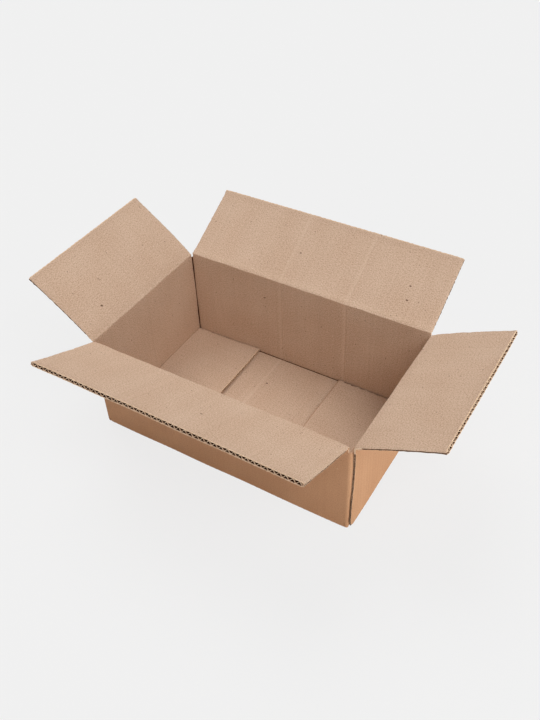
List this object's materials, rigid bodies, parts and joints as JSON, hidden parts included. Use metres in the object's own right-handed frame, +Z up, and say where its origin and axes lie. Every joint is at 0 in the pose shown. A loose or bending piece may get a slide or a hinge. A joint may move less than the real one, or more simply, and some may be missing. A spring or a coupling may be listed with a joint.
{
  "type": "corrugated cardboard box",
  "caption": "Open slotted shipping box of corrugated board, with a glued corner, closed bottom flaps and hinged top flaps folded outwards.",
  "frame": {"origin": "on the ground, under the middle of the box body", "axes": "+X along the long walls towards the glued corner's short wall, +Y towards the long wall away from the glued corner, +Z up"},
  "size_m": [0.4613, 0.3404, 0.1718],
  "materials": {
    "board": "matte"
  },
  "bodies": {
    "carton": {"box_body": "board"},
    "back": {"back_flap": "board"},
    "front": {"front_flap": "board"},
    "left": {"left_flap": "board"},
    "right": {"right_flap": "board"}
  },
  "joints": [
    {"name": "back_crease", "type": "hinge", "parent": "carton", "child": "back", "pos_m": [0, 0.0898, 0.1185], "axis": [1, 0, 0], "range_deg": [-78, 150]},
    {"name": "front_crease", "type": "hinge", "parent": "carton", "child": "front", "pos_m": [0, -0.0898, 0.1185], "axis": [-1, 0, 0], "range_deg": [-73, 155]},
    {"name": "left_crease", "type": "hinge", "parent": "carton", "child": "left", "pos_m": [-0.1522, 0, 0.1166], "axis": [0, 1, 0], "range_deg": [-84, 144]},
    {"name": "right_crease", "type": "hinge", "parent": "carton", "child": "right", "pos_m": [0.1522, 0, 0.1166], "axis": [0, -1, 0], "range_deg": [-73, 155]}
  ]
}
